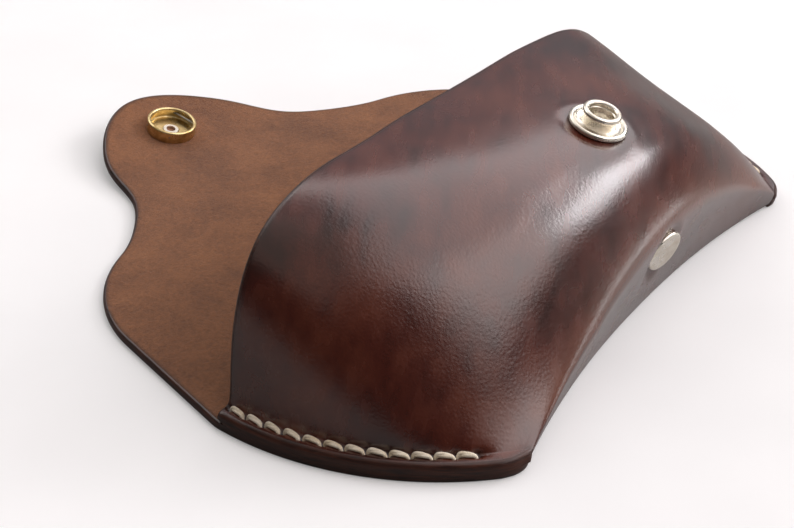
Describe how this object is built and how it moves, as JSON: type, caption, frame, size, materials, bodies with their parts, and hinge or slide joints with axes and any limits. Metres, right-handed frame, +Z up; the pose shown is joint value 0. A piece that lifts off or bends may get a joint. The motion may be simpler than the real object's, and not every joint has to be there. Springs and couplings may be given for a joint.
{
  "type": "leather glasses case",
  "caption": "Hand-stitched leather glasses case: an arched pouch with a riveted bottom and an open snap flap that folds over its mouth.",
  "frame": {"origin": "centre of the foot of the whole case as it lies open on its back", "axes": "+X along the mouth towards the far end, +Y from the bottom of the pouch to the tip of the open flap, +Z up through the arched front"},
  "size_m": [0.166, 0.146, 0.042],
  "materials": {
    "leather": "waxed grain outside, suede flesh side inside",
    "thread": "waxed linen",
    "nickel": "polished nickel plate",
    "brass": "bright rolled brass",
    "spring_wire": "drawn spring wire"
  },
  "bodies": {
    "pouch": {"back_panel": "leather", "front_panel": "leather", "near_seam_thread": "thread", "far_seam_thread": "thread", "snap_stud": "nickel", "stud_eyelet": "nickel", "rivet_cap": "nickel", "rivet_post": "nickel"},
    "spine": {"flap_spine": "leather"},
    "tongue": {"flap_tongue": "leather", "snap_socket": "brass", "near_spring_wire": "spring_wire", "far_spring_wire": "spring_wire", "snap_cap": "nickel"}
  },
  "joints": [
    {"name": "flap_bend_lower", "type": "hinge", "parent": "pouch", "child": "spine", "pos_m": [0, -0.0183, 0.002], "axis": [1, 0, 0], "range_deg": [0, 90]},
    {"name": "flap_bend_upper", "type": "hinge", "parent": "spine", "child": "tongue", "pos_m": [0, 0.0245, 0.002], "axis": [1, 0, 0], "range_deg": [0, 92]}
  ]
}
